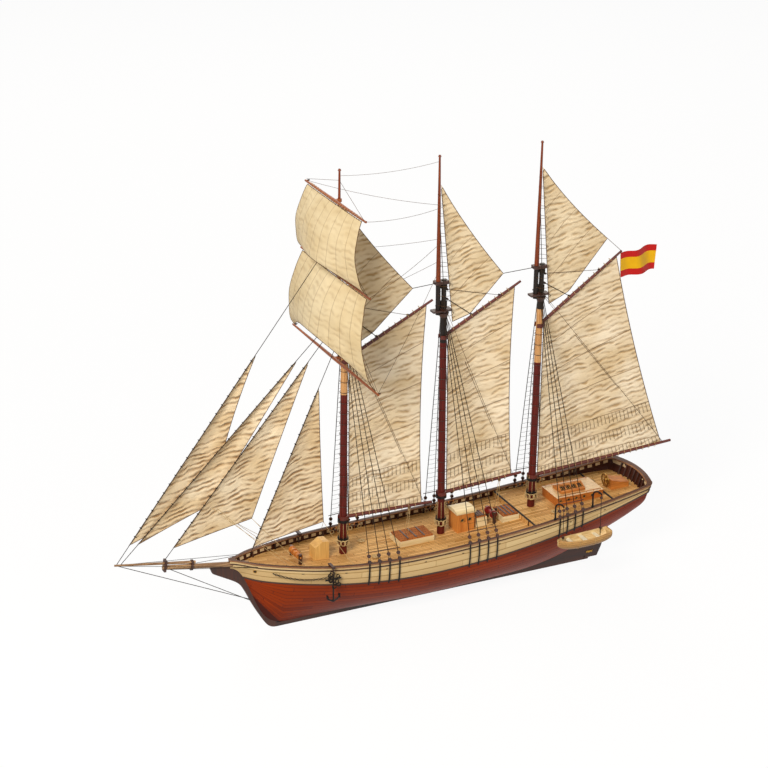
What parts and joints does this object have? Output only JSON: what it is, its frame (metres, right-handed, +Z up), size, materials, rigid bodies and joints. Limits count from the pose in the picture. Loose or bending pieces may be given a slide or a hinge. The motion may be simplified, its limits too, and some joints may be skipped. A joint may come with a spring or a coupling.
{
  "type": "model sailing ship",
  "caption": "Wooden display model of a topsail schooner with planked hull, decked and fitted, standing rigging, fore-and-aft sails that swing about their masts, square sails, rudder and wheel",
  "frame": {"origin": "the flat underside of the keel, below the foot of the main mast", "axes": "+X aft towards the stern, +Y to starboard, +Z up towards the trucks; the port side faces -Y"},
  "size_m": [0.7442, 0.245, 0.562],
  "materials": {
    "dark_wood": "satin varnish",
    "hull_mahogany": "satin varnish",
    "pale_wood": "satin varnish",
    "deck_wood": "satin",
    "rail_wood": "satin varnish",
    "mast_wood": "satin varnish",
    "orange_wood": "satin varnish",
    "structure_wood": "plain",
    "sailcloth": "matte cotton",
    "square_sailcloth": "matte cotton",
    "black_line": "waxed cord",
    "black_iron": "satin black",
    "brass": "aged",
    "red_paint": "satin",
    "pane": "frosted",
    "flag_cloth": "matte cotton"
  },
  "bodies": {
    "hull": {"keel": "dark_wood", "stem": "dark_wood", "sternpost": "dark_wood", "hull_planking": "hull_mahogany", "bulwarks": "pale_wood", "main_deck": "deck_wood", "quarter_deck": "deck_wood", "spine": "structure_wood", "bulkheads": "structure_wood", "cap_rail": "rail_wood", "wales": "dark_wood", "chainplates": "brass", "bulwark_stanchions": "dark_wood", "gudgeons": "brass", "hatch_coamings": "pale_wood", "hatch_covers": "mast_wood", "companionway": "pale_wood", "deckhouse": "orange_wood", "deckhouse_roof": "pale_wood", "after_cabin": "orange_wood", "skylight": "pale_wood", "skylight_panes": "pane", "bitts": "dark_wood", "wheel_box": "orange_wood", "ship_boat": "pale_wood", "boat_thwarts": "orange_wood", "davits": "black_iron", "anchors": "black_iron", "catheads": "dark_wood", "bowsprit": "mast_wood", "jibboom": "mast_wood", "fore_mast": "mast_wood", "main_mast": "mast_wood", "mizzen_mast": "mast_wood", "fore_topmast": "mast_wood", "main_topmast": "mast_wood", "mizzen_topmast": "mast_wood", "crosstrees_and_caps": "dark_wood", "mast_bands": "black_iron", "shrouds": "black_line", "deadeyes": "dark_wood", "stays": "black_line", "jibs": "sailcloth", "gaff_topsails": "sailcloth"},
    "rudder_assembly": {"rudder": "dark_wood"},
    "wheel": {"steering_wheel": "brass"},
    "windlass": {"windlass_barrel": "orange_wood"},
    "winch": {"winch_barrel": "red_paint"},
    "fore_rig": {"fore_boom": "mast_wood", "fore_gaff": "mast_wood", "fore_sail": "sailcloth"},
    "main_rig": {"main_boom": "mast_wood", "main_gaff": "mast_wood", "main_sail": "sailcloth"},
    "mizzen_rig": {"mizzen_boom": "mast_wood", "mizzen_gaff": "mast_wood", "mizzen_sail": "sailcloth", "flag": "flag_cloth"},
    "yard_rig": {"yards": "mast_wood", "square_sails": "square_sailcloth"}
  },
  "joints": [
    {"name": "rudder_swing", "type": "hinge", "parent": "hull", "child": "rudder_assembly", "pos_m": [0.21913, 0, 0.02], "axis": [0.4067, 0, 0.9135], "range_deg": [-35, 35]},
    {"name": "wheel_spin", "type": "hinge", "parent": "hull", "child": "wheel", "pos_m": [0.231, 0, 0.10479], "axis": [1, 0, 0], "continuous": true},
    {"name": "windlass_spin", "type": "hinge", "parent": "hull", "child": "windlass", "pos_m": [-0.193, 0, 0.0915], "axis": [0, 1, 0], "continuous": true},
    {"name": "winch_spin", "type": "hinge", "parent": "hull", "child": "winch", "pos_m": [0.069, 0, 0.09267], "axis": [0, 1, 0], "continuous": true},
    {"name": "fore_sail_swing", "type": "hinge", "parent": "hull", "child": "fore_rig", "pos_m": [-0.12961, 0, 0.2], "axis": [0.014, 0, 0.9999], "range_deg": [-30, 30]},
    {"name": "main_sail_swing", "type": "hinge", "parent": "hull", "child": "main_rig", "pos_m": [0.00042, 0, 0.2], "axis": [0.0035, 0, 1], "range_deg": [-30, 30]},
    {"name": "mizzen_sail_swing", "type": "hinge", "parent": "hull", "child": "mizzen_rig", "pos_m": [0.12749, 0, 0.2], "axis": [0.0227, 0, 0.9997], "range_deg": [-30, 30]},
    {"name": "yard_brace", "type": "hinge", "parent": "hull", "child": "yard_rig", "pos_m": [-0.13525, 0, 0.333], "axis": [0.014, 0, 0.9999], "range_deg": [-15, 15]}
  ]
}
